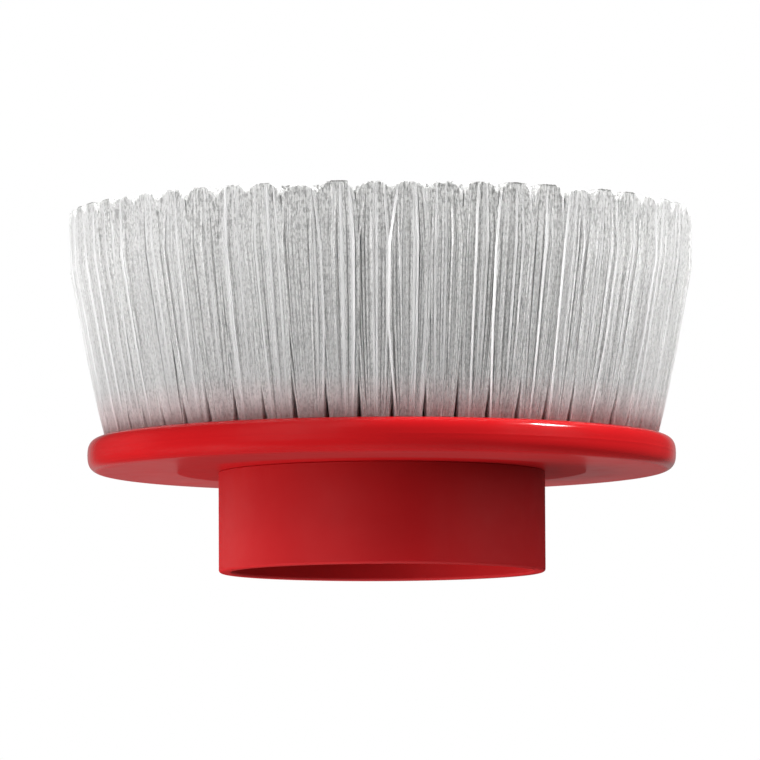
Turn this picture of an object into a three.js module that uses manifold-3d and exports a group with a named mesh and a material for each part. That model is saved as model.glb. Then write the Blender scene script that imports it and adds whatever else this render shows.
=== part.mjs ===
// A round neck duster brush: a disc head with a full, rounded edge, a short hollow ring
// under it as the grip, and rings of nylon tufts that fan out from its face and are cut flat.
//
// Millimetres, +Z up. The origin is the centre of the grip's open rim, so the brush stands
// on z = 0 with its bristles up. Angles round the axis start at the front (-Y) and grow
// towards +X.

import * as THREE from 'three';
import { mergeVertices } from 'three/addons/utils/BufferGeometryUtils.js';
import Module from 'manifold-3d';

// ---- Driving dimensions ---------------------------------------------------------------

// Fitting gap left between neighbouring mouldings.
const CLEARANCE = 0.3;

// Head disc: a plate whose edge is rounded over its whole thickness, as half a superellipse.
const DISC_DIAMETER = 100;
const DISC_THICKNESS = 5.8;
const EDGE_FULLNESS = 2.75; // exponent of the superellipse: 2 is a circle, more is squarer
const DISC_FLOOR = 2.2; // web left under the bristle field
const FACE_LAND = 0.2; // flat strip between the edge round and the bristle field

// Grip collar: an open ring, with a tongue that locates it in the disc's underside.
const COLLAR_DIAMETER = 55.5;
const COLLAR_HEIGHT = 17.05;
const COLLAR_WALL = 2.2;
const RIM_ROUND = 0.5;
const TONGUE_THICKNESS = 1.0;
const TONGUE_HEIGHT = 0.9;

// Tufts, in evenly spaced rings.
const INNER_RING_RADIUS = 3.98;
const TUFT_DIAMETER = 3.0;
const BRISTLE_LENGTH = 38.25; // free length above the disc's face
const FLARE_ANGLE = 9.3; // outward lean of the outermost tufts, in degrees
const TUFT_PHASE = -1.2; // where the outermost ring's first tuft stands, in degrees
const ROOT_DEPTH = 1.0; // how deep a strand is set in its plate
const STRAND_DIAMETER = 1.4; // a strand of the outer rings; further in a tuft is one strand

// Anchor wire that holds the folds of one ring's tufts.
const WIRE_WIDTH = 0.6;
const WIRE_HEIGHT = 0.9;

// Facets round the axis.
const DISC_SEGMENTS = 96;
const COLLAR_SEGMENTS = 72;
const EDGE_STEPS = 10;
const RIM_STEPS = 3;

// The bristle field is set in concentric plates, here from the outermost in. Each takes the
// next few rings; a tuft is `strands` strands standing round its centre, the first at `turn`
// degrees from outward.
const BANDS = [
  { rings: 1, strands: 3, turn: 0, diameter: STRAND_DIAMETER, segments: 72 },
  { rings: 2, strands: 2, turn: 90, diameter: STRAND_DIAMETER, segments: 56 },
  { rings: 3, strands: 1, turn: 0, diameter: TUFT_DIAMETER, segments: 40 },
  { rings: 3, strands: 1, turn: 0, diameter: TUFT_DIAMETER, segments: 24 },
];
const STRAND_SIDES = 3;

// ---- Sizes worked out from them -------------------------------------------------------

const edgeRound = DISC_THICKNESS / 2;
const flatRadius = DISC_DIAMETER / 2 - edgeRound;
const undersideZ = COLLAR_HEIGHT;
const faceZ = undersideZ + DISC_THICKNESS;
const tipZ = faceZ + BRISTLE_LENGTH;
const recessFloorZ = undersideZ + DISC_FLOOR;
const recessRadius = flatRadius - FACE_LAND;

const collarRadius = COLLAR_DIAMETER / 2;
const tongueRadius = collarRadius - COLLAR_WALL / 2;

const fieldRadius = recessRadius - CLEARANCE;
const outerRingRadius = fieldRadius - TUFT_DIAMETER / 2;
const ringCount = BANDS.reduce((sum, band) => sum + band.rings, 0);
const tuftPitch = (outerRingRadius - INNER_RING_RADIUS) / (ringCount - 1);
const seatZ = recessFloorZ + CLEARANCE;
const channelZ = seatZ + WIRE_HEIGHT + CLEARANCE;
const flareSlope = Math.tan(THREE.MathUtils.degToRad(FLARE_ANGLE));

// ---- Geometry helpers -----------------------------------------------------------------

const wasm = await Module();
wasm.setup();

/** Points of an arc in the (radius, height) plane, both ends included, angles in degrees. */
function arc(centreR, centreZ, radius, from, to, steps) {
  const points = [];
  for (let i = 0; i <= steps; i++) {
    const angle = THREE.MathUtils.degToRad(from + ((to - from) * i) / steps);
    const r = centreR + radius * Math.cos(angle);
    points.push([r, centreZ + radius * Math.sin(angle)]);
  }
  return points;
}

/** Points of the outer half of a superellipse in the same plane, from its lowest up. */
function fullEdge(centreR, centreZ, radius, fullness, steps) {
  const swell = (value) => Math.sign(value) * Math.abs(value) ** (2 / fullness);
  const points = [];
  for (let i = 0; i <= steps; i++) {
    const angle = THREE.MathUtils.degToRad(-90 + (180 * i) / steps);
    const r = centreR + radius * swell(Math.cos(angle));
    points.push([r, centreZ + radius * swell(Math.sin(angle))]);
  }
  return points;
}

/** Turns a profile of [radius, height] points round Z, its first facet corner at `phase`. */
function turned(profile, segments, phase = 0) {
  const points = profile.map(([r, z]) => new THREE.Vector2(r, z));
  const startsOnAxis = points[0].x === 0;
  if (!startsOnAxis) points.push(points[0].clone());
  const start = THREE.MathUtils.degToRad(phase);
  return new THREE.LatheGeometry(points, segments, start).rotateX(Math.PI / 2);
}

/** Radius of the corners of a regular polygon whose flats lie at `radius`. */
function cornerRadius(radius, segments) {
  return radius / Math.cos(Math.PI / segments);
}

/** Radius of the flats of a regular polygon whose corners lie at `radius`. */
function flatsRadius(radius, segments) {
  return radius * Math.cos(Math.PI / segments);
}

/** A closed geometry as a solid that can be joined and cut. */
function toSolid(geometry) {
  const bare = new THREE.BufferGeometry();
  bare.setAttribute('position', geometry.getAttribute('position'));
  bare.setIndex(geometry.getIndex());
  const merged = mergeVertices(bare);
  const corners = merged.getIndex().array;
  const triangles = [];
  for (let i = 0; i < corners.length; i += 3) {
    const [a, b, c] = [corners[i], corners[i + 1], corners[i + 2]];
    const collapsed = a === b || b === c || c === a;
    if (!collapsed) triangles.push(a, b, c);
  }
  const vertProperties = new Float32Array(merged.getAttribute('position').array);
  const triVerts = new Uint32Array(triangles);
  return new wasm.Manifold(new wasm.Mesh({ numProp: 3, vertProperties, triVerts }));
}

/** The surface of a solid as a geometry. */
function toGeometry(solid) {
  const { vertProperties, triVerts } = solid.getMesh();
  const geometry = new THREE.BufferGeometry();
  geometry.setAttribute('position', new THREE.BufferAttribute(vertProperties, 3));
  geometry.setIndex(new THREE.BufferAttribute(triVerts, 1));
  geometry.computeVertexNormals();
  return geometry;
}

// ---- Head disc and grip collar --------------------------------------------------------

/** The disc: its underside has a groove for the collar's tongue, its face a recess. */
function headDisc() {
  const grooveInner = tongueRadius - TONGUE_THICKNESS / 2 - CLEARANCE;
  const grooveOuter = tongueRadius + TONGUE_THICKNESS / 2 + CLEARANCE;
  const grooveZ = undersideZ + TONGUE_HEIGHT + CLEARANCE;
  return turned([
    [0, undersideZ],
    [grooveInner, undersideZ],
    [grooveInner, grooveZ],
    [grooveOuter, grooveZ],
    [grooveOuter, undersideZ],
    ...fullEdge(flatRadius, undersideZ + edgeRound, edgeRound, EDGE_FULLNESS, EDGE_STEPS),
    [recessRadius, faceZ],
    [recessRadius, recessFloorZ],
    [0, recessFloorZ],
  ], DISC_SEGMENTS);
}

/** The collar: a ring open at its rounded rim, with the tongue on its upper end. */
function gripCollar() {
  const inner = collarRadius - COLLAR_WALL;
  const tongueTopZ = COLLAR_HEIGHT + TONGUE_HEIGHT;
  return turned([
    ...arc(inner + RIM_ROUND, RIM_ROUND, RIM_ROUND, 180, 270, RIM_STEPS),
    ...arc(collarRadius - RIM_ROUND, RIM_ROUND, RIM_ROUND, 270, 360, RIM_STEPS),
    [collarRadius, COLLAR_HEIGHT],
    [tongueRadius + TONGUE_THICKNESS / 2, COLLAR_HEIGHT],
    [tongueRadius + TONGUE_THICKNESS / 2, tongueTopZ],
    [tongueRadius - TONGUE_THICKNESS / 2, tongueTopZ],
    [tongueRadius - TONGUE_THICKNESS / 2, COLLAR_HEIGHT],
    [inner, COLLAR_HEIGHT],
  ], COLLAR_SEGMENTS);
}

// ---- Tufts ----------------------------------------------------------------------------

/**
 * The rings of tufts from the outside in, each with its radius, its number of tufts and where
 * its first one stands. Every other ring is turned by half a step, so that at the front its
 * tufts stand in the gaps of the ring outside.
 */
function tuftRings() {
  const rings = [];
  for (let i = 0; i < ringCount; i++) {
    const radius = outerRingRadius - i * tuftPitch;
    const tufts = Math.round((2 * Math.PI * radius) / tuftPitch);
    const turn = i % 2 === 1 ? 180 / tufts : 0;
    rings.push({ radius, tufts, phase: TUFT_PHASE + turn });
  }
  return rings;
}

/** The wire of one ring: a closed flat wire with a corner at every tuft's fold. */
function anchorWire({ radius, tufts, phase }) {
  const inner = radius - WIRE_WIDTH / 2;
  const outer = radius + WIRE_WIDTH / 2;
  return turned([
    [inner, seatZ],
    [outer, seatZ],
    [outer, seatZ + WIRE_HEIGHT],
    [inner, seatZ + WIRE_HEIGHT],
  ], tufts, phase);
}

/** The plate that a band's tufts stand in, with a channel below for their wires. */
function bandPlate(rings, outer, inner, segments) {
  const first = rings[0];
  const last = rings[rings.length - 1];
  const wireOuter = first.radius + WIRE_WIDTH / 2;
  const wireInner = flatsRadius(last.radius - WIRE_WIDTH / 2, last.tufts);
  const channelOuter = cornerRadius(wireOuter + CLEARANCE, segments);
  const channelInner = wireInner - CLEARANCE;
  const rim = [[outer, seatZ], [outer, faceZ]];
  if (inner === 0) {
    return turned([
      [0, channelZ], [channelOuter, channelZ], [channelOuter, seatZ], ...rim, [0, faceZ],
    ], segments);
  }
  return turned([
    [inner, seatZ], [channelInner, seatZ], [channelInner, channelZ],
    [channelOuter, channelZ], [channelOuter, seatZ], ...rim, [inner, faceZ],
  ], segments);
}

/** Where the axis of a tuft at `angle` on a ring passes the height z. */
function tuftCentre(ringRadius, angle, z) {
  const spread = 1 + ((z - faceZ) * flareSlope) / outerRingRadius;
  const r = ringRadius * spread;
  return new THREE.Vector3(r * Math.sin(angle), -r * Math.cos(angle), z);
}

/** One strand: a leaning prism of STRAND_SIDES sides with a corner facing outward. */
function strand(root, tip, outwardAngle, diameter) {
  const positions = [];
  for (const centre of [root, tip]) {
    for (let i = 0; i < STRAND_SIDES; i++) {
      const angle = outwardAngle + (2 * Math.PI * i) / STRAND_SIDES;
      const x = centre.x + (diameter / 2) * Math.sin(angle);
      const y = centre.y - (diameter / 2) * Math.cos(angle);
      positions.push(x, y, centre.z);
    }
  }
  const indices = [];
  for (let i = 0; i < STRAND_SIDES; i++) {
    const next = (i + 1) % STRAND_SIDES;
    indices.push(i, next, STRAND_SIDES + next, i, STRAND_SIDES + next, STRAND_SIDES + i);
  }
  for (let i = 1; i < STRAND_SIDES - 1; i++) {
    indices.push(0, i + 1, i, STRAND_SIDES, STRAND_SIDES + i, STRAND_SIDES + i + 1);
  }
  const geometry = new THREE.BufferGeometry();
  geometry.setAttribute('position', new THREE.Float32BufferAttribute(positions, 3));
  geometry.setIndex(indices);
  return geometry;
}

/** The strands of every tuft on one ring. */
function ringStrands({ radius, tufts, phase }, band) {
  const offset = (TUFT_DIAMETER - band.diameter) / 2;
  const geometries = [];
  for (let t = 0; t < tufts; t++) {
    const angle = THREE.MathUtils.degToRad(phase) + (2 * Math.PI * t) / tufts;
    for (let s = 0; s < band.strands; s++) {
      const around = angle + THREE.MathUtils.degToRad(band.turn + (360 * s) / band.strands);
      const aside = new THREE.Vector3(Math.sin(around), -Math.cos(around), 0);
      aside.multiplyScalar(offset);
      const root = tuftCentre(radius, angle, faceZ - ROOT_DEPTH).add(aside);
      const tip = tuftCentre(radius, angle, tipZ).add(aside);
      geometries.push(strand(root, tip, angle, band.diameter));
    }
  }
  return geometries;
}

/** A band of tufts: its plate and all its strands as one body. */
function bristleBand(rings, outer, inner, band) {
  const plate = toSolid(bandPlate(rings, outer, inner, band.segments));
  const strands = rings.flatMap((ring) => ringStrands(ring, band)).map(toSolid);
  return toGeometry(wasm.Manifold.union([plate, ...strands]));
}

// ---- Assembly -------------------------------------------------------------------------

const glossRed = new THREE.MeshStandardMaterial({ color: 0xb2181e, roughness: 0.12 });
const satinRed = new THREE.MeshStandardMaterial({ color: 0xae1b20, roughness: 0.42 });
const clearNylon = new THREE.MeshStandardMaterial({ color: 0xdedede, roughness: 0.35 });
const wireSteel = new THREE.MeshStandardMaterial({
  color: 0xb9bcc0,
  roughness: 0.3,
  metalness: 1,
});

const brush = new THREE.Group();

/** Adds one named piece to the brush. */
function addPiece(name, geometry, material) {
  const mesh = new THREE.Mesh(geometry, material);
  mesh.name = name;
  brush.add(mesh);
}

addPiece('head_disc', headDisc(), glossRed);
addPiece('grip_collar', gripCollar(), satinRed);

const rings = tuftRings();
rings.forEach((ring, i) => addPiece(`anchor_wire_${i + 1}`, anchorWire(ring), wireSteel));

let firstRing = 0;
let bandOuter = fieldRadius;
BANDS.forEach((band, i) => {
  const own = rings.slice(firstRing, firstRing + band.rings);
  firstRing += band.rings;
  const next = rings[firstRing];
  const seam = next ? (own[own.length - 1].radius + next.radius) / 2 : 0;
  const bandInner = next ? seam + CLEARANCE / 2 : 0;
  addPiece(`bristle_band_${i + 1}`, bristleBand(own, bandOuter, bandInner, band), clearNylon);
  bandOuter = seam - CLEARANCE / 2;
});

export default brush;
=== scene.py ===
"""Looks of a round neck duster brush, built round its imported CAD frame.

The brush is a glossy red disc on a short satin ring, with rings of clear nylon tufts
that fan out from the disc's face. Everything is in metres in the CAD frame: +Z is up
and the ring's open rim stands on z = 0. Angles round the axis start at the front (-Y)
and grow towards +X.
"""

from __future__ import annotations

import logging
import math
from dataclasses import dataclass, field
from enum import Enum
from typing import Any

import bpy
import numpy as np
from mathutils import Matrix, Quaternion, Vector

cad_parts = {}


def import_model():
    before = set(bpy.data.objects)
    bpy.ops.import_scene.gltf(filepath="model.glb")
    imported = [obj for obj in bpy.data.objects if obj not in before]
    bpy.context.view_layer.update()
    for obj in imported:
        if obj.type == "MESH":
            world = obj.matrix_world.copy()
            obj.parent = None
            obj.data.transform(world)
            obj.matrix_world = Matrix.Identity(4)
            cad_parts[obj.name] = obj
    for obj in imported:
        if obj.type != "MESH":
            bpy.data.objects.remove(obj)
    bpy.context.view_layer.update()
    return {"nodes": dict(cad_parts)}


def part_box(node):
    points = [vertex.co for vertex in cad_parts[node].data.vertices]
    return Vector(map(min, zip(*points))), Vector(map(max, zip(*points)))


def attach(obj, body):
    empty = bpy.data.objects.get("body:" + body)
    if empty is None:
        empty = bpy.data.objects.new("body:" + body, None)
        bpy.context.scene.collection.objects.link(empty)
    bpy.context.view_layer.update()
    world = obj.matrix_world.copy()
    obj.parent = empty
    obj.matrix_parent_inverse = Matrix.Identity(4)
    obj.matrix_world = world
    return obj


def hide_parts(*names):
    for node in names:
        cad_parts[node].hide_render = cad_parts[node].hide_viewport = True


log = logging.getLogger("neck_duster")

MM = 0.001
BODY = "root"
CLEARANCE = 0.3 * MM  # between the frame's solids
NOISE_SPAN = (0.3, 0.7)  # where most of a noise's values lie
SHARP_EDGE = 40.0  # degrees: a moulding's edges that turn by more stay sharp
SHARP_RIM = 80.0  # degrees: likewise for the rims of a filament's ends
GOLDEN_ANGLE = math.pi * (3 - math.sqrt(5))
Colour = tuple[float, float, float]


class Slot(Enum):
    """Names of the record's material slots; no piece in this script is given one."""

    GLOSS_RED = "gloss_red"
    SATIN_RED = "satin_red"
    CLEAR_NYLON = "clear_nylon"


# ---- Node graphs ----------------------------------------------------------------------


class Graph:
    """A node tree that is written as a chain of calls."""

    def __init__(self, tree: bpy.types.NodeTree) -> None:
        """Empties the tree.

        Args:
            tree: The node tree to write into.
        """
        self.tree = tree
        tree.nodes.clear()

    def add(self, kind: str, inputs: dict[Any, Any] | None = None, **settings: Any) -> Any:
        """Adds a node, sets its settings and feeds its inputs.

        Args:
            kind: The node's type name.
            inputs: Value or output socket for each input, by name or number.
            settings: Properties of the node itself.

        Returns:
            The new node.
        """
        node = self.tree.nodes.new(kind)
        for name, value in settings.items():
            setattr(node, name, value)
        for key, value in (inputs or {}).items():
            if isinstance(value, bpy.types.NodeSocket):
                self.tree.links.new(value, node.inputs[key])
            else:
                node.inputs[key].default_value = value
        return node

    def math(self, operation: str, a: Any, b: Any = 0.0) -> Any:
        """Adds a Math node and returns its output."""
        return self.add("ShaderNodeMath", {0: a, 1: b}, operation=operation).outputs[0]

    def noise(self, vector: Any, scale: float, detail: float = 2.0) -> Any:
        """Adds a Noise Texture and returns its value.

        Args:
            vector: The coordinates to read.
            scale: Features per metre.
            detail: Octaves.

        Returns:
            The noise's value output.
        """
        inputs = {"Vector": vector, "Scale": scale, "Detail": detail}
        return self.add("ShaderNodeTexNoise", inputs).outputs["Fac"]

    def ramp(self, value: Any, low: float, high: float, to_low: float, to_high: float) -> Any:
        """Maps a value from one range to another, clamped.

        Args:
            value: The value to map.
            low: Start of its range.
            high: End of its range.
            to_low: Result at low.
            to_high: Result at high.

        Returns:
            The mapped value's output.
        """
        inputs = {"Value": value, 1: low, 2: high, 3: to_low, 4: to_high}
        return self.add("ShaderNodeMapRange", inputs).outputs["Result"]

    def blend(self, share: Any, a: Any, b: Any) -> Any:
        """Mixes two colours, each given as a value or as an output.

        Args:
            share: How much of b, from 0 to 1.
            a: Colour at 0.
            b: Colour at 1.

        Returns:
            The mixed colour's output.
        """
        mix = self.add("ShaderNodeMix", data_type="RGBA")
        for socket, value in ((0, share), (6, a), (7, b)):
            if isinstance(value, bpy.types.NodeSocket):
                self.tree.links.new(value, mix.inputs[socket])
            elif socket == 0:
                mix.inputs[socket].default_value = value
            else:
                mix.inputs[socket].default_value = (*value, 1.0)
        return mix.outputs[2]


def new_material(name: str) -> tuple[bpy.types.Material, Graph]:
    """Makes an empty node material.

    Args:
        name: The material's name.

    Returns:
        The material and the graph of its tree.
    """
    material = bpy.data.materials.new(name)
    material.use_nodes = True
    return material, Graph(material.node_tree)


# ---- Finishes -------------------------------------------------------------------------


@dataclass(frozen=True)
class MouldedPlastic:
    """A dyed moulded plastic with faint flow marks and haze; its underside may be duller.

    Attributes:
        name: The material's name.
        colour: Its usual colour.
        shade: Its colour in the darker flow marks.
        roughness: Its roughness.
        roughness_below: Its roughness where it faces straight down.
        haze: How far the roughness strays from cloud to cloud.
        grain: Height of the fine grain.
        ripple: Height of the broad ripple.
        flow_scale: Flow marks per metre.
        cloud_scale: Clouds of haze per metre.
        grain_scale: Grains per metre.
        ripple_scale: Ripples per metre.
        facing_down: Z of the normal where the roughness below holds and where the usual does.
    """

    name: str
    colour: Colour
    shade: Colour
    roughness: float
    roughness_below: float
    haze: float
    grain: float
    ripple: float
    flow_scale: float = 60.0
    cloud_scale: float = 220.0
    grain_scale: float = 5200.0
    ripple_scale: float = 90.0
    facing_down: tuple[float, float] = (-1.0, -0.9)

    def build(self) -> bpy.types.Material:
        """Makes the material.

        Returns:
            The plastic, with its colour, roughness and bump patterned by place.
        """
        material, graph = new_material(self.name)
        place = graph.add("ShaderNodeNewGeometry").outputs["Position"]
        flow = graph.ramp(graph.noise(place, self.flow_scale), *NOISE_SPAN, 0.0, 1.0)
        colour = graph.blend(flow, self.colour, self.shade)
        cloud = graph.noise(place, self.cloud_scale, detail=4.0)
        haze = graph.ramp(cloud, *NOISE_SPAN, -self.haze, self.haze)
        facing = graph.add("ShaderNodeNewGeometry").outputs["Normal"]
        upward = graph.add("ShaderNodeSeparateXYZ", {0: facing}).outputs["Z"]
        finish = graph.ramp(upward, *self.facing_down, self.roughness_below, self.roughness)
        rough = graph.math("ADD", finish, haze)
        wave = graph.noise(place, self.ripple_scale, detail=1.0)
        fine = graph.noise(place, self.grain_scale, detail=3.0)
        relief = graph.add("ShaderNodeBump", {"Height": wave, "Strength": 1.0,
                                              "Distance": self.ripple})
        relief = graph.add("ShaderNodeBump", {"Height": fine, "Strength": 1.0,
                                              "Distance": self.grain,
                                              "Normal": relief.outputs[0]})
        surface = graph.add("ShaderNodeBsdfPrincipled", {
            "Base Color": colour,
            "Roughness": rough,
            "Normal": relief.outputs[0],
            "IOR": 1.5,
        })
        graph.add("ShaderNodeOutputMaterial", {"Surface": surface.outputs[0]})
        return material


@dataclass(frozen=True)
class NylonFilament:
    """Clear nylon bristle: a bright thread with a fine grain and a duller cut end.

    Attributes:
        name: The material's name.
        clear: Colour of the clearest threads; the proud ones take it as a painted glint.
        dull: Colour of a usual thread.
        grain: Colour of the marks on a usual thread.
        root_shade: Painted shade: the colour that the threads are darkened to towards the
        root, where they stand densest.
        root_shade_share: How much of the painted shade they take at the face; at the tips
        they take none.
        red_bounce: Painted red bounce light: the colour that light thrown back by the red
            face gives the feet of the threads.
        red_bounce_share: How much of the painted bounce light they take at the face.
        red_bounce_height: How high the painted bounce light reaches.
        crown_shade: Painted shade on the inner tufts' open ends, where light sinks in between
            the threads.
        crown_shade_radius: Where the painted shade starts to fade and where it ends, from the
            axis.
        crown_shade_depth: How far down from the tips the painted shade reaches.
        cut: Colour of the cut ends.
        cut_length: Length of a cut end.
        speckle: Marks per metre.
        roughness: Roughness of a thread's surface.
        through: Share of the light that passes through a thread.
        speckle_stretch: Scale of the marks along the threads; the less, the longer they are.
        speckle_span: Noise at which a mark starts and at which it is full.
    """

    name: str
    clear: Colour
    dull: Colour
    grain: Colour
    root_shade: Colour
    root_shade_share: float
    red_bounce: Colour
    red_bounce_share: float
    red_bounce_height: float
    crown_shade: Colour
    crown_shade_radius: tuple[float, float]
    crown_shade_depth: float
    cut: Colour
    cut_length: float
    speckle: float
    roughness: float
    through: float
    speckle_stretch: float = 0.6
    speckle_span: tuple[float, float] = (0.46, 0.62)

    def build(self, face: float, tip: float) -> bpy.types.Material:
        """Makes the material.

        Args:
            face: Height of the face that the bristles stand on.
            tip: Height of the plane that the bristles are cut in.

        Returns:
            The nylon, whose tint changes from filament to filament.
        """
        material, graph = new_material(self.name)
        place = graph.add("ShaderNodeNewGeometry").outputs["Position"]
        lot = graph.add("ShaderNodeAttribute", attribute_name="lot").outputs["Fac"]
        stretch = (1.0, 1.0, self.speckle_stretch)
        drawn = graph.add("ShaderNodeMapping", {"Vector": place, "Scale": stretch})
        speckle = graph.noise(drawn.outputs[0], self.speckle, detail=1.0)
        marks = graph.ramp(speckle, *self.speckle_span, 0.0, 1.0)
        usual = graph.blend(marks, self.dull, self.grain)
        thread = graph.blend(lot, usual, self.clear)
        height = graph.add("ShaderNodeSeparateXYZ", {0: place}).outputs["Z"]
        # Painted shade: the threads are darkened towards the root, fading out at the tips.
        root_shading = graph.ramp(height, face, tip, self.root_shade_share, 0.0)
        colour = graph.blend(root_shading, thread, self.root_shade)
        # Painted red bounce light from the disc's face on the feet of the threads.
        low = graph.ramp(height, face, face + self.red_bounce_height, self.red_bounce_share, 0.0)
        colour = graph.blend(low, colour, self.red_bounce)
        flat = graph.add("ShaderNodeVectorMath", {0: place, 1: (1.0, 1.0, 0.0)},
                         operation="MULTIPLY").outputs["Vector"]
        from_axis = graph.add("ShaderNodeVectorMath", {0: flat},
                              operation="LENGTH").outputs["Value"]
        # Painted shade on the ends of the inner tufts, where light sinks in between the threads.
        inner = graph.ramp(from_axis, *self.crown_shade_radius, 1.0, 0.0)
        high = graph.ramp(height, tip - self.crown_shade_depth, tip, 0.0, 1.0)
        colour = graph.blend(graph.math("MULTIPLY", inner, high), colour, self.crown_shade)
        end = graph.ramp(height, tip - self.cut_length, tip - self.cut_length / 3, 0.0, 1.0)
        colour = graph.blend(end, colour, self.cut)
        surface = graph.add("ShaderNodeBsdfPrincipled", {
            "Base Color": colour,
            "Roughness": self.roughness,
            "IOR": 1.53,
        })
        passed = graph.add("ShaderNodeBsdfTranslucent", {"Color": colour})
        mix = graph.add("ShaderNodeMixShader", {0: self.through, 1: surface.outputs[0],
                                                2: passed.outputs[0]})
        graph.add("ShaderNodeOutputMaterial", {"Surface": mix.outputs[0]})
        return material


@dataclass(frozen=True)
class DrawnSteel:
    """Bright drawn wire.

    Attributes:
        name: The material's name.
        colour: The metal's colour.
        roughness: Its roughness.
        mark_scale: Drawing marks per metre.
        mark_range: Least and greatest roughness in the marks, as shares of the usual one.
    """

    name: str
    colour: Colour
    roughness: float
    mark_scale: float = 4000.0
    mark_range: tuple[float, float] = (0.8, 1.3)

    def build(self) -> bpy.types.Material:
        """Makes the material.

        Returns:
            The steel, with drawing marks in its roughness.
        """
        material, graph = new_material(self.name)
        place = graph.add("ShaderNodeNewGeometry").outputs["Position"]
        marks = graph.noise(place, self.mark_scale, detail=3.0)
        least, greatest = (self.roughness * share for share in self.mark_range)
        rough = graph.ramp(marks, *NOISE_SPAN, least, greatest)
        surface = graph.add("ShaderNodeBsdfPrincipled", {
            "Base Color": (*self.colour, 1.0),
            "Metallic": 1.0,
            "Roughness": rough,
        })
        graph.add("ShaderNodeOutputMaterial", {"Surface": surface.outputs[0]})
        return material


GLOSS_RED = MouldedPlastic(
    name="gloss_red_plastic",
    colour=(0.48, 0.0072, 0.0094),
    shade=(0.44, 0.0065, 0.0087),
    roughness=0.15,
    roughness_below=0.36,
    haze=0.03,
    grain=0.4e-6,
    ripple=6e-6,
)
SATIN_RED = MouldedPlastic(
    name="satin_red_plastic",
    colour=(0.45, 0.0072, 0.0094),
    shade=(0.415, 0.0065, 0.0087),
    roughness=0.62,
    roughness_below=0.62,
    haze=0.05,
    grain=3e-6,
    ripple=6e-6,
)
NYLON = NylonFilament(
    name="clear_nylon",
    clear=(1.0, 1.0, 1.0),
    dull=(0.99, 0.99, 0.985),
    grain=(0.70, 0.70, 0.695),
    # Painted shade towards the roots of the threads.
    root_shade=(0.64, 0.635, 0.635),
    root_shade_share=0.32,
    # Painted red bounce light on the feet of the threads.
    red_bounce=(0.95, 0.40, 0.40),
    red_bounce_share=0.14,
    red_bounce_height=7 * MM,
    # Painted shade on the ends of the inner tufts.
    crown_shade=(0.77, 0.77, 0.765),
    crown_shade_radius=(45 * MM, 51 * MM),
    crown_shade_depth=4 * MM,
    cut=(0.45, 0.45, 0.44),
    cut_length=0.3 * MM,
    speckle=2800.0,
    roughness=0.3,
    through=0.85,
)
STEEL = DrawnSteel(name="anchor_steel", colour=(0.55, 0.56, 0.58), roughness=0.3)


# ---- Mesh helpers ---------------------------------------------------------------------


def faceted(name: str, points: np.ndarray, faces: list[np.ndarray], material: bpy.types.Material,
            sharp: float) -> bpy.types.Object:
    """Makes a smooth mesh object from arrays.

    Args:
        name: The piece's name.
        points: Vertex places, one row each, in metres.
        faces: Arrays of faces, each with as many columns as its faces have corners.
        material: What it is made of.
        sharp: Edges that turn by more than this, in degrees, stay sharp.

    Returns:
        The new object, linked to the scene.
    """
    mesh = bpy.data.meshes.new(name)
    mesh.vertices.add(len(points))
    mesh.vertices.foreach_set("co", points.astype(np.float32).ravel())
    corners = np.concatenate([block.ravel() for block in faces])
    sizes = np.concatenate([np.full(len(block), block.shape[1]) for block in faces])
    mesh.loops.add(len(corners))
    mesh.loops.foreach_set("vertex_index", corners.astype(np.int32))
    mesh.polygons.add(len(sizes))
    starts = np.concatenate([[0], np.cumsum(sizes)[:-1]])
    mesh.polygons.foreach_set("loop_start", starts.astype(np.int32))
    mesh.update(calc_edges=True)
    mesh.validate()
    mesh.shade_smooth()
    mesh.set_sharp_from_angle(angle=math.radians(sharp))
    mesh.materials.append(material)
    piece = bpy.data.objects.new(name, mesh)
    bpy.context.scene.collection.objects.link(piece)
    return piece


def turned(name: str, profile: list[tuple[float, float]], material: bpy.types.Material,
           segments: int = 288) -> bpy.types.Object:
    """Turns a closed profile round the Z axis.

    Args:
        name: The piece's name.
        profile: (radius, height) points in order round the section, in metres. Only its
            first and last may lie on the axis.
        material: What it is made of.
        segments: Steps round the axis.

    Returns:
        The turned piece.
    """
    section = np.array(profile, float)
    count = len(section)
    angle = np.arange(segments) * 2 * math.pi / segments
    points = np.empty((segments, count, 3))
    points[..., 0] = np.outer(np.sin(angle), section[:, 0])
    points[..., 1] = -np.outer(np.cos(angle), section[:, 0])
    points[..., 2] = section[:, 1]
    index = np.arange(segments * count).reshape(segments, count)
    poles = [i for i in (0, count - 1) if section[i, 0] == 0.0]
    for pole in poles:
        index[:, pole] = index[0, pole]
    closes = len(poles) < 2
    here = np.arange(count if closes else count - 1)
    ahead = (here + 1) % count
    around = np.roll(index, -1, axis=0)
    quads = np.stack([index[:, here], around[:, here], around[:, ahead], index[:, ahead]], -1)
    quads = quads.reshape(-1, 4)
    # Quads that start or end on the axis have two corners in one there, and are triangles.
    fans = quads[:, 0] == quads[:, 1]
    caps = quads[:, 2] == quads[:, 3]
    sides = quads[~(fans | caps)]
    faces = [sides, quads[fans][:, [0, 2, 3]], quads[caps][:, [0, 1, 2]]]
    faces = [block for block in faces if len(block)]
    return faceted(name, points.reshape(-1, 3), faces, material, SHARP_EDGE)


def arc(centre: tuple[float, float], radius: float, start: float, end: float,
        steps: int) -> list[tuple[float, float]]:
    """Points of an arc in a section, both ends included.

    Args:
        centre: Its centre as (radius, height).
        radius: Its radius.
        start: Angle it starts at, in degrees from outward.
        end: Angle it ends at.
        steps: Number of steps.

    Returns:
        The points.
    """
    angles = [math.radians(start + (end - start) * i / steps) for i in range(steps + 1)]
    return [(centre[0] + radius * math.cos(a), centre[1] + radius * math.sin(a))
            for a in angles]


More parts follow.
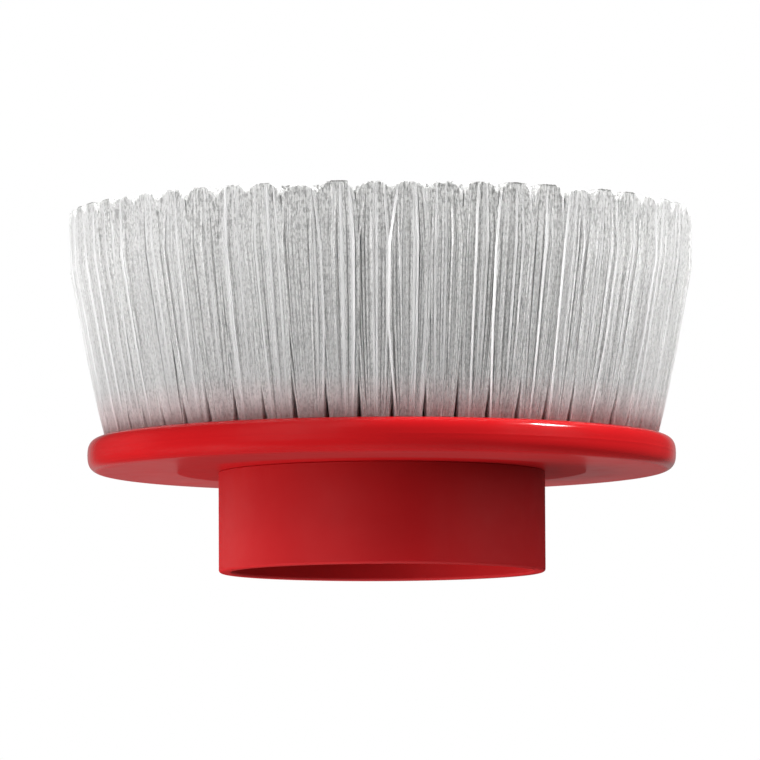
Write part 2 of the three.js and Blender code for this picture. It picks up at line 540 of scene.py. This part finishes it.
def swell(value: float, fullness: float) -> float:
    """Moves a circle's sine or cosine out to the superellipse of that fullness."""
    return math.copysign(abs(value) ** (2 / fullness), value)


def to_square(circle: np.ndarray) -> np.ndarray:
    """Moves points of the unit circle, one row each, out to the square round it."""
    return circle / np.abs(circle).max(axis=1, keepdims=True)


def node_radii(node: bpy.types.Object, below: float = math.inf) -> np.ndarray:
    """Distance from the axis of each vertex of a CAD node that lies below a height."""
    places = np.array([v.co for v in node.data.vertices if v.co.z < below], float)
    return np.hypot(places[:, 0], places[:, 1])


# ---- Head disc and grip collar --------------------------------------------------------


@dataclass
class HeadDisc:
    """The glossy disc: a full, rounded edge with a faint parting line, and a recessed face.

    Attributes:
        underside: Height of its underside.
        face: Height of its face.
        radius: Its radius.
        recess_radius: Radius of the recess that the tufts' plate fills.
        recess_floor: Height of the recess's floor.
        fullness: Exponent of the edge's superellipse: 2 is a circle, more is squarer.
        bead_height: How far the parting line stands out.
        bead_width: Width of the parting line.
        edge_steps: Steps round the edge.
    """

    underside: float
    face: float
    radius: float
    recess_radius: float
    recess_floor: float
    fullness: float = 2.75
    bead_height: float = 0.02 * MM
    bead_width: float = 0.16 * MM
    edge_steps: int = 40

    @classmethod
    def from_frame(cls, nodes: dict[str, bpy.types.Object]) -> HeadDisc:
        """Reads the disc's sizes from its CAD node and from the plate's in its recess.

        Args:
            nodes: The CAD nodes by name.

        Returns:
            The disc.
        """
        low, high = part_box("head_disc")
        plate_low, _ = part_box("bristle_band_1")
        plate_radius = node_radii(nodes["bristle_band_1"], below=high.z).max()
        return cls(
            underside=low.z,
            face=high.z,
            radius=high.x,
            recess_radius=plate_radius + CLEARANCE,
            recess_floor=plate_low.z - CLEARANCE,
        )

    def edge(self) -> list[tuple[float, float]]:
        """The edge's profile from the underside up, with the bead at mid-height."""
        rounding = (self.face - self.underside) / 2
        centre = (self.radius - rounding, self.underside + rounding)
        points = [(centre[0] + rounding * swell(c, self.fullness),
                   centre[1] + rounding * swell(s, self.fullness))
                  for c, s in arc((0.0, 0.0), 1.0, -90, 90, self.edge_steps)]
        half = self.bead_width / 2
        bead = [(self.radius, centre[1] - half),
                (self.radius + self.bead_height, centre[1]),
                (self.radius, centre[1] + half)]
        below = [p for p in points if p[1] < centre[1] - half]
        above = [p for p in points if p[1] > centre[1] + half]
        return below + bead + above

    def build(self, material: bpy.types.Material) -> bpy.types.Object:
        """Makes the disc.

        Args:
            material: Its plastic.

        Returns:
            The disc's piece.
        """
        profile = [(0.0, self.underside), *self.edge(), (self.recess_radius, self.face),
                   (self.recess_radius, self.recess_floor), (0.0, self.recess_floor)]
        disc = turned("disc_moulding", profile, material)
        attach(disc, BODY)
        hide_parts("head_disc")
        log.info("%s: radius %.1f mm", disc.name, self.radius / MM)
        return disc


@dataclass
class GripCollar:
    """The satin ring under the disc, open at its thin rounded rim.

    Attributes:
        height: Its height, from the rim to the disc's underside.
        radius: Its outer radius.
        bore: Its inner radius.
        rim_round: Radius of the rim's two rounded edges.
        seam_chamfer: Chamfer where it meets the disc.
        rim_steps: Steps round each of the rim's edges.
    """

    height: float
    radius: float
    bore: float
    rim_round: float = 0.5 * MM
    seam_chamfer: float = 0.12 * MM
    rim_steps: int = 8

    @classmethod
    def from_frame(cls, nodes: dict[str, bpy.types.Object], underside: float) -> GripCollar:
        """Reads the ring's sizes from its CAD node.

        Args:
            nodes: The CAD nodes by name.
            underside: Height of the disc's underside, where the ring ends.

        Returns:
            The collar.
        """
        radii = node_radii(nodes["grip_collar"])
        return cls(height=underside, radius=radii.max(), bore=radii.min())

    def build(self, material: bpy.types.Material) -> bpy.types.Object:
        """Makes the ring.

        Args:
            material: Its plastic.

        Returns:
            The ring's piece.
        """
        rim, chamfer = self.rim_round, self.seam_chamfer
        profile = [
            *arc((self.bore + rim, rim), rim, 180, 270, self.rim_steps),
            *arc((self.radius - rim, rim), rim, 270, 360, self.rim_steps),
            (self.radius, self.height - chamfer),
            (self.radius - chamfer, self.height),
            (self.bore, self.height),
        ]
        ring = turned("collar_moulding", profile, material)
        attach(ring, BODY)
        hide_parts("grip_collar")
        log.info("%s: radius %.1f mm", ring.name, self.radius / MM)
        return ring


# ---- Tufts ----------------------------------------------------------------------------


@dataclass(frozen=True)
class Section:
    """A tuft's section.

    Attributes:
        share: Where it is, as a share of the tuft's length.
        width: Its width round the ring.
        depth: Its depth away from the axis.
        square: Its shape, from an ellipse at 0 to a rectangle at 1.
    """

    share: float
    width: float
    depth: float
    square: float


@dataclass
class TuftRing:
    """One ring of tufts.

    Attributes:
        radius: Its radius at the face.
        tufts: How many tufts it has.
        phase: Angle of its first tuft, in degrees.
        filaments: How many filaments a tuft has.
        spread: Size of a tuft's end as a share of what its last section says.
    """

    radius: float
    tufts: int
    phase: float
    filaments: int
    spread: float


@dataclass
class Threads:
    """A lot of filaments.

    Attributes:
        lines: Their centre lines as (filament, station, 3).
        radius: Their radii as (filament, station).
        tint: How clear each is, from 0 to 1; the proud ones are set fully clear, a painted
        glint.
    """

    lines: np.ndarray
    radius: np.ndarray
    tint: np.ndarray

    def parts(self, most: int) -> list[Threads]:
        """Splits them into lots of at most a given number."""
        lots = np.array_split(np.arange(len(self.lines)), math.ceil(len(self.lines) / most))
        return [Threads(self.lines[lot], self.radius[lot], self.tint[lot]) for lot in lots]

    def mesh(self, name: str, sides: int, material: bpy.types.Material,
             dice: np.random.Generator) -> bpy.types.Object:
        """Makes one piece of them, closed at both ends.

        Args:
            name: The piece's name.
            sides: Faces round a thread.
            material: Their nylon.
            dice: Source of each thread's turn about itself.

        Returns:
            The piece, with the tint in its point attribute "lot".
        """
        count, stations, _ = self.lines.shape
        angle = np.arange(sides) * 2 * math.pi / sides
        angle = angle + dice.uniform(0, 2 * math.pi, count)[:, None]
        circle = np.stack([np.cos(angle), np.sin(angle), np.zeros_like(angle)], -1)
        around = circle[:, None] * self.radius[:, :, None, None]
        points = self.lines[:, :, None, :] + around
        index = np.arange(points.size // 3).reshape(count, stations, sides)
        beside = np.roll(index, -1, axis=2)
        quads = np.stack([index[:, :-1], beside[:, :-1], beside[:, 1:], index[:, 1:]], -1)
        faces = [quads.reshape(-1, 4), index[:, -1], index[:, 0, ::-1]]
        piece = faceted(name, points.reshape(-1, 3), faces, material, SHARP_RIM)
        lot = piece.data.attributes.new("lot", "FLOAT", "POINT")
        tint = np.repeat(self.tint, stations * sides)
        lot.data.foreach_set("value", tint.astype(np.float32))
        return piece


@dataclass
class BristleField:
    """The nylon field: rings of tufts that fan out, cut flat and a little ragged.

    Attributes:
        face: Height of the plate's face, where the tufts come out.
        tip: Height of the plane that they are cut in.
        plate_radius: Radius of the plate.
        plate_floor: Height of the plate's underside.
        hole: Diameter of a tuft's hole.
        sections: Sections of a tuft, from its root to its tip.
        inner_ring: Radius of the innermost ring.
        band_rings: How many rings each band of the frame holds, from the outermost in.
        counts: Filaments in a tuft of each ring from the outermost in; the last one goes on.
        spreads: Spread of the tufts of each ring, likewise.
        skin_share: Share of a tuft's filaments that stand in its skin.
        skin_step: How far every other one of these stands back, as a share of the section.
        core: Share of the section that the others fill.
        phase: Angle of the outermost ring's first tuft, in degrees.
        slope: How far the outermost tufts lean out for each metre of height.
        reach: Radius that no centre line of the outermost ring passes; it shrinks with a ring.
        root: How far below the face the tufts are set.
        thickness: Least and greatest thickness of a filament.
        glint_thickness: Thickness of one that stands proud.
        flare: How much thicker a filament ends than it starts, as a share.
        flare_power: Power of the height that the flare grows with.
        sides: Faces round a filament.
        lean: How far tufts lean at random, measured at their tips.
        thread_lean: How far their filaments lean from them.
        bow: How far filaments bow at half height.
        stray_share: Share of the filaments that stray.
        stray_lean: How far strays lean.
        stray_bow: How far strays bow.
        proud_share: Share of the filaments that stand proud, and are painted fully clear as
        glints.
        proud: How far they stand out at half height.
        tuft_tint: How much clearer one tuft may be than another.
        thread_tint: How much clearer one filament may be than another.
        shoulder: How much shorter a tuft is at its two sides than in its middle.
        shoulder_power: Power of the distance that the shoulder falls with.
        cut: How unevenly the tips are cut.
        most_threads: The most filaments in a piece.
        seed: Seed of the irregularities.
        rings: The rings from the outermost in.
    """

    face: float
    tip: float
    plate_radius: float
    plate_floor: float
    hole: float = 3.0 * MM
    sections: tuple[Section, ...] = (
        Section(0.0, 4.7 * MM, 3.4 * MM, 0.6),
        Section(0.14, 5.2 * MM, 4.1 * MM, 0.9),
        Section(0.40, 6.3 * MM, 4.6 * MM, 1.0),
        Section(0.76, 7.0 * MM, 4.8 * MM, 1.0),
        Section(1.0, 5.6 * MM, 4.5 * MM, 0.9),
    )
    inner_ring: float = 3.98 * MM
    band_rings: tuple[int, ...] = (1, 2, 3, 3)
    counts: tuple[int, ...] = (280, 160, 130, 110)
    spreads: tuple[float, ...] = (1.0, 1.4, 1.22)
    skin_share: float = 0.6
    skin_step: float = 0.07
    core: float = 0.9
    phase: float = -1.2
    slope: float = 0.1743
    reach: float = 52.8 * MM
    root: float = 1.0 * MM
    thickness: tuple[float, float] = (0.18 * MM, 0.32 * MM)
    glint_thickness: float = 0.36 * MM
    flare: float = 0.35
    flare_power: int = 3
    sides: int = 5
    lean: float = 0.20 * MM
    thread_lean: float = 0.06 * MM
    bow: float = 0.07 * MM
    stray_share: float = 0.12
    stray_lean: float = 0.45 * MM
    stray_bow: float = 0.5 * MM
    proud_share: float = 0.07
    proud: float = 0.25 * MM
    tuft_tint: float = 0.35
    thread_tint: float = 0.25
    shoulder: float = 1.5 * MM
    shoulder_power: int = 5
    cut: float = 0.2 * MM
    most_threads: int = 4000
    seed: int = 7
    rings: list[TuftRing] = field(default_factory=list)

    @classmethod
    def from_frame(cls, disc: HeadDisc) -> BristleField:
        """Reads the field's sizes from the CAD nodes.

        Args:
            disc: The disc that the field is set in.

        Returns:
            The field, with its rings from the outermost in.
        """
        _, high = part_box("bristle_band_1")
        made = cls(face=disc.face, tip=high.z, plate_radius=disc.recess_radius,
                   plate_floor=disc.recess_floor)
        outer = disc.recess_radius - CLEARANCE - made.hole / 2
        ring_count = sum(made.band_rings)
        pitch = (outer - made.inner_ring) / (ring_count - 1)
        for i in range(ring_count):
            radius = outer - i * pitch
            tufts = round(2 * math.pi * radius / pitch)
            turn = 180 / tufts if i % 2 else 0.0
            filaments = made.counts[min(i, len(made.counts) - 1)]
            spread = made.spreads[min(i, len(made.spreads) - 1)]
            made.rings.append(TuftRing(radius, tufts, made.phase + turn, filaments, spread))
        return made

    def leaning(self, radius: float, height: np.ndarray) -> np.ndarray:
        """How far from the axis a tuft's centre line is at each height above the face."""
        return radius * (1 + self.slope * height / self.rings[0].radius)

    def pattern(self, filaments: int) -> tuple[np.ndarray, np.ndarray]:
        """Lays out a tuft's filaments in a unit circle, as an even skin round a filled core.

        Args:
            filaments: How many there are.

        Returns:
            Each filament's distance from the circle's centre and its angle round it.
        """
        number = np.arange(filaments)
        skin = round(self.skin_share * filaments)
        outside = number < skin
        within = np.maximum(number - skin, 0)
        core = self.core * np.sqrt((within + 0.5) / (filaments - skin))
        distance = np.where(outside, 1 - self.skin_step * (number % 2), core)
        turn = np.where(outside, 2 * math.pi * number / skin, within * GOLDEN_ANGLE)
        return distance, turn

    def centre_lines(self, ring: TuftRing, tuft: np.ndarray, circle: np.ndarray,
                     distance: np.ndarray, lean: np.ndarray, bow: np.ndarray,
                     length: np.ndarray) -> np.ndarray:
        """Runs a ring's filaments through the sections of their tufts.

        Args:
            ring: The ring.
            tuft: Number of each filament's tuft.
            circle: Direction in which it stands from its tuft's centre.
            distance: How far from there it stands, as a share of the section.
            lean: How far its tip leans, round the ring and outward.
            bow: How far it bows at half height, likewise.
            length: Its length above the face.

        Returns:
            The centre lines as (filament, station, 3).
        """
        square = to_square(circle)
        angle = math.radians(ring.phase) + 2 * math.pi * tuft / ring.tufts
        limit = self.reach - self.rings[0].radius + ring.radius
        lines = np.empty((len(tuft), len(self.sections), 3))
        for k, section in enumerate(self.sections):
            height = section.share * (length + self.root) - self.root
            bend = 4 * section.share * (1 - section.share)
            wider = 1 + (ring.spread - 1) * section.share
            size = np.array([section.width, section.depth]) * wider / 2 - self.thickness[0] / 2
            squared = section.square / ring.spread**2
            place = (circle + squared * (square - circle)) * distance[:, None] * size
            place += section.share * lean + bend * bow
            from_axis = np.minimum(self.leaning(ring.radius, height) + place[:, 1], limit)
            lines[:, k, 0] = from_axis * np.sin(angle) + place[:, 0] * np.cos(angle)
            lines[:, k, 1] = -from_axis * np.cos(angle) + place[:, 0] * np.sin(angle)
            lines[:, k, 2] = self.face + height
        return lines

    def ring_threads(self, ring: TuftRing, dice: np.random.Generator) -> Threads:
        """Lays out a ring's filaments.

        Args:
            ring: The ring.
            dice: Source of its irregularities.

        Returns:
            The filaments, tuft by tuft; those that stand proud are thick and painted fully
            clear, as glints.
        """
        total = ring.tufts * ring.filaments
        tuft = np.repeat(np.arange(ring.tufts), ring.filaments)
        distance, turn = (np.tile(one, ring.tufts) for one in self.pattern(ring.filaments))
        turn = turn + dice.uniform(0, 2 * math.pi, ring.tufts)[tuft]
        circle = np.stack([np.cos(turn), np.sin(turn)], -1)
        lean = dice.normal(0, self.lean, (ring.tufts, 2))[tuft]
        stray = dice.random(total) < self.stray_share
        apart = np.where(stray, self.stray_lean, self.thread_lean)[:, None]
        lean += dice.normal(0, 1.0, (total, 2)) * apart
        proud = dice.random(total) < self.proud_share
        curl = np.where(stray, self.stray_bow, self.bow)[:, None]
        bow = dice.normal(0, 1.0, (total, 2)) * curl
        bow[:, 1] = np.minimum(bow[:, 1], 0) + np.where(proud, self.proud, 0.0)
        length = self.tip - self.face - np.abs(dice.normal(0, self.cut, total))
        length -= np.abs(dice.normal(0, self.cut, ring.tufts))[tuft]
        sideways = np.abs(to_square(circle)[:, 0] * distance)
        length -= self.shoulder * sideways**self.shoulder_power
        lines = self.centre_lines(ring, tuft, circle, distance, lean, bow, length)
        radius = np.where(proud, self.glint_thickness, dice.uniform(*self.thickness, total)) / 2
        shares = np.array([section.share for section in self.sections])
        radius = radius[:, None] * (1 + self.flare * shares**self.flare_power)
        tint = self.tuft_tint * dice.random(ring.tufts)[tuft]
        tint += self.thread_tint * dice.random(total)
        # Painted highlight: the proud filaments take the clearest colour, without marks, so they
        # read as bright glints.
        tint[proud] = 1.0
        return Threads(lines, radius, tint)

    def build(self, nylon: bpy.types.Material, red: bpy.types.Material) -> None:
        """Makes the plate and the tufts of every band.

        Args:
            nylon: Material of the tufts.
            red: Plastic of the plate that they stand in.
        """
        plate = turned("tuft_plate", [
            (0.0, self.plate_floor), (self.plate_radius, self.plate_floor),
            (self.plate_radius, self.face), (0.0, self.face),
        ], red)
        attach(plate, BODY)
        log.info("%s: radius %.1f mm", plate.name, self.plate_radius / MM)
        for number, count in enumerate(self.band_rings, 1):
            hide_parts(f"bristle_band_{number}")
            first = sum(self.band_rings[:number - 1])
            for i, ring in enumerate(self.rings[first:first + count], 1):
                dice = np.random.default_rng(self.seed + 10 * number + i)
                threads = self.ring_threads(ring, dice)
                for part, some in enumerate(threads.parts(self.most_threads), 1):
                    piece = some.mesh(f"tufts_{number}_{i}_{part}", self.sides, nylon, dice)
                    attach(piece, BODY)
                    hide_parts(f"bristle_band_{number}")
                    log.info("%s: %d filaments", piece.name, len(some.lines))


# ---- Studio ---------------------------------------------------------------------------


@dataclass(frozen=True)
class Lamp:
    """A soft rectangular lamp that faces the brush.

    Attributes:
        name: The lamp's name.
        towards: Direction in which it stands from the brush.
        distance: How far away it stands.
        size: Its width and height.
        level: How bright it alone makes a white face that looks at it, from 0 to 1.
        mirrored: Whether it is meant to show in the gloss.
    """

    name: str
    towards: tuple[float, float, float]
    distance: float
    size: tuple[float, float]
    level: float
    mirrored: bool = False

    def build(self, target: Vector) -> None:
        """Makes the lamp.

        Args:
            target: The point that it faces.
        """
        data = bpy.data.lights.new(self.name, "AREA")
        data.shape = "RECTANGLE"
        data.size, data.size_y = self.size
        # At level 1 a white face that looks at the lamp from this distance comes out white.
        data.energy = self.level * math.pi**2 * self.distance**2
        lamp = bpy.data.objects.new(self.name, data)
        way = Vector(self.towards).normalized()
        lamp.location = target + way * self.distance
        lamp.rotation_mode = "QUATERNION"
        lamp.rotation_quaternion = way.to_track_quat("Z", "Y")
        lamp.visible_camera = False
        lamp.visible_glossy = self.mirrored
        bpy.context.scene.collection.objects.link(lamp)


@dataclass
class Studio:
    """Camera, lamps, floor and surroundings.

    Attributes:
        camera_distance: How far in front of the brush's axis the camera stands.
        camera_drop: How far below the brush's rim it stands.
        camera_side: How far to the right it stands.
        camera_tilt: How far up it looks, in degrees.
        camera_roll: How far it is turned about its own axis, in degrees.
        lens: Its focal length in mm.
        sensor: Width of its sensor in mm.
        clip: Nearest and farthest that it sees.
        floor_radius: Radius of the floor.
        floor_hole: Radius of the hole in the floor, which the ring's rim stands round.
        floor_colour: Grey of the floor.
        floor_steps: Steps round the floor.
        wall_radius: Radius of the round walls.
        wall_start: Angle at which their profile starts, in degrees from outward.
        wall_steps: Steps from there up to the top.
        wall_segments: Steps round them.
        wall_light: Strength of the walls.
        back_light: Strength of the wall straight behind the brush.
        back_from: Share of the way back where the walls start to turn to it.
        back_full: Share of the way back where they have turned to it.
        room: Strength of the world as a light.
        lamps: The lamps.
    """

    camera_distance: float = 1.148
    camera_drop: float = 0.06398
    camera_side: float = -0.228 * MM
    camera_tilt: float = 4.819
    camera_roll: float = -0.262
    lens: float = 320.6
    sensor: float = 36.0
    clip: tuple[float, float] = (0.01, 50.0)
    floor_radius: float = 3.0
    floor_hole: float = 26.6 * MM
    floor_colour: float = 0.5
    floor_steps: int = 96
    wall_radius: float = 4.0
    wall_start: float = -89.0
    wall_steps: int = 24
    wall_segments: int = 64
    wall_light: float = 0.07
    back_light: float = 0.30
    back_from: float = 0.86
    back_full: float = 0.96
    room: float = 0.02
    lamps: tuple[Lamp, ...] = (
        Lamp("key_right", (0.68, -0.01, 0.733), 1.2, (0.14, 0.20), 0.68, mirrored=True),
        Lamp("key_right_plain", (0.68, -0.01, 0.733), 1.2, (0.17, 0.20), 0.80),
        Lamp("top_front", (-0.42, -0.60, 0.68), 1.2, (0.8, 0.8), 0.68),
        Lamp("front_left", (-0.60, -0.80, 0.15), 1.2, (0.8, 0.8), 0.39),
        Lamp("right", (0.88, -0.36, 0.34), 1.2, (0.8, 0.8), 0.56),
        Lamp("back_left", (-0.80, 0.60, 0.15), 1.2, (0.9, 0.7), 0.56),
        Lamp("under", (0.0, 0.0, -1.0), 0.7, (1.0, 1.0), 0.94),
        Lamp("under_left", (-0.80, -0.10, -0.60), 1.2, (0.9, 0.9), 0.93),
    )

    def camera(self) -> None:
        """Makes the camera at the photograph's place."""
        data = bpy.data.cameras.new("camera")
        data.lens = self.lens
        data.sensor_width = self.sensor
        data.clip_start, data.clip_end = self.clip
        camera = bpy.data.objects.new("camera", data)
        camera.location = (self.camera_side, -self.camera_distance, -self.camera_drop)
        tilt = math.radians(self.camera_tilt)
        ahead = Vector((0.0, math.cos(tilt), math.sin(tilt)))
        roll = Quaternion((0.0, 0.0, 1.0), math.radians(self.camera_roll))
        camera.rotation_mode = "QUATERNION"
        camera.rotation_quaternion = ahead.to_track_quat("-Z", "Y") @ roll
        bpy.context.scene.collection.objects.link(camera)
        bpy.context.scene.camera = camera

    def world(self) -> None:
        """Makes the surroundings: white where they are seen, and dim as a light."""
        world = bpy.data.worlds.new("surroundings")
        world.use_nodes = True
        bpy.context.scene.world = world
        graph = Graph(world.node_tree)
        rays = graph.add("ShaderNodeLightPath").outputs
        seen = graph.math("MAXIMUM", rays["Is Camera Ray"], rays["Is Glossy Ray"])
        seen = graph.math("MAXIMUM", seen, rays["Is Transmission Ray"])
        level = graph.ramp(seen, 0.0, 1.0, self.room, 1.0)
        light = graph.add("ShaderNodeBackground", {"Color": (1, 1, 1, 1), "Strength": level})
        graph.add("ShaderNodeOutputWorld", {"Surface": light.outputs[0]})

    def walls(self) -> None:
        """Makes the walls that the red gloss mirrors: pale behind the brush, dim elsewhere."""
        material, graph = new_material("walls")
        place = graph.add("ShaderNodeNewGeometry").outputs["Position"]
        behind = graph.add("ShaderNodeSeparateXYZ", {0: place}).outputs["Y"]
        level = graph.ramp(behind, self.wall_radius * self.back_from,
                           self.wall_radius * self.back_full, self.wall_light, self.back_light)
        glow = graph.add("ShaderNodeEmission", {"Strength": level})
        graph.add("ShaderNodeOutputMaterial", {"Surface": glow.outputs[0]})
        side = arc((0.0, 0.0), self.wall_radius, self.wall_start, 90, self.wall_steps)
        # The profile closes from the top to its start, as a cone round the axis that is 35 mm
        # in radius at the brush. The gloss mirrors it too, and it is as dim as the walls.
        profile = [*side[:-1], (0.0, self.wall_radius)]
        walls = turned("walls", profile, material, self.wall_segments)
        walls.visible_camera = walls.visible_transmission = False
        walls.visible_diffuse = walls.visible_shadow = False

    def floor(self) -> None:
        """Makes the pale floor, seen through from below; it lights and shades no other piece."""
        material, graph = new_material("pale_floor")
        rays = graph.add("ShaderNodeLightPath")
        side = graph.add("ShaderNodeNewGeometry")
        through = graph.math("MULTIPLY", rays.outputs["Is Camera Ray"],
                             side.outputs["Backfacing"])
        grey = (self.floor_colour,) * 3
        pale = graph.add("ShaderNodeBsdfDiffuse", {"Color": (*grey, 1.0)})
        clear = graph.add("ShaderNodeBsdfTransparent")
        mix = graph.add("ShaderNodeMixShader", {0: through, 1: pale.outputs[0],
                                                2: clear.outputs[0]})
        graph.add("ShaderNodeOutputMaterial", {"Surface": mix.outputs[0]})
        steps = self.floor_steps
        angle = np.arange(steps) * 2 * math.pi / steps
        circle = np.stack([np.sin(angle), -np.cos(angle), np.zeros(steps)], -1)
        points = np.concatenate([circle * self.floor_hole, circle * self.floor_radius])
        inner = np.arange(steps)
        ahead = np.roll(inner, -1)
        quads = np.stack([inner, inner + steps, ahead + steps, ahead], -1)
        floor = faceted("floor", points, [quads], material, SHARP_EDGE)
        floor.visible_diffuse = floor.visible_glossy = floor.visible_shadow = False

    def build(self, target: Vector) -> None:
        """Makes the whole studio.

        Args:
            target: The point that the lamps face.
        """
        self.camera()
        self.world()
        self.floor()
        self.walls()
        for lamp in self.lamps:
            lamp.build(target)
        bpy.context.scene.view_settings.view_transform = "Standard"


def main() -> None:
    """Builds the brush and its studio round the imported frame."""
    logging.basicConfig(level=logging.INFO, format="%(name)s: %(message)s")
    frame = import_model()
    nodes = frame["nodes"]

    gloss, satin = GLOSS_RED.build(), SATIN_RED.build()
    disc = HeadDisc.from_frame(nodes)
    disc.build(gloss)
    GripCollar.from_frame(nodes, disc.underside).build(satin)
    bristles = BristleField.from_frame(disc)
    bristles.build(NYLON.build(bristles.face, bristles.tip), gloss)

    steel = STEEL.build()
    for name, node in nodes.items():
        if name.startswith("anchor_wire"):
            node.data.materials.clear()
            node.data.materials.append(steel)

    Studio().build(Vector((0.0, 0.0, bristles.tip / 2)))


if __name__ == "__main__":
    main()
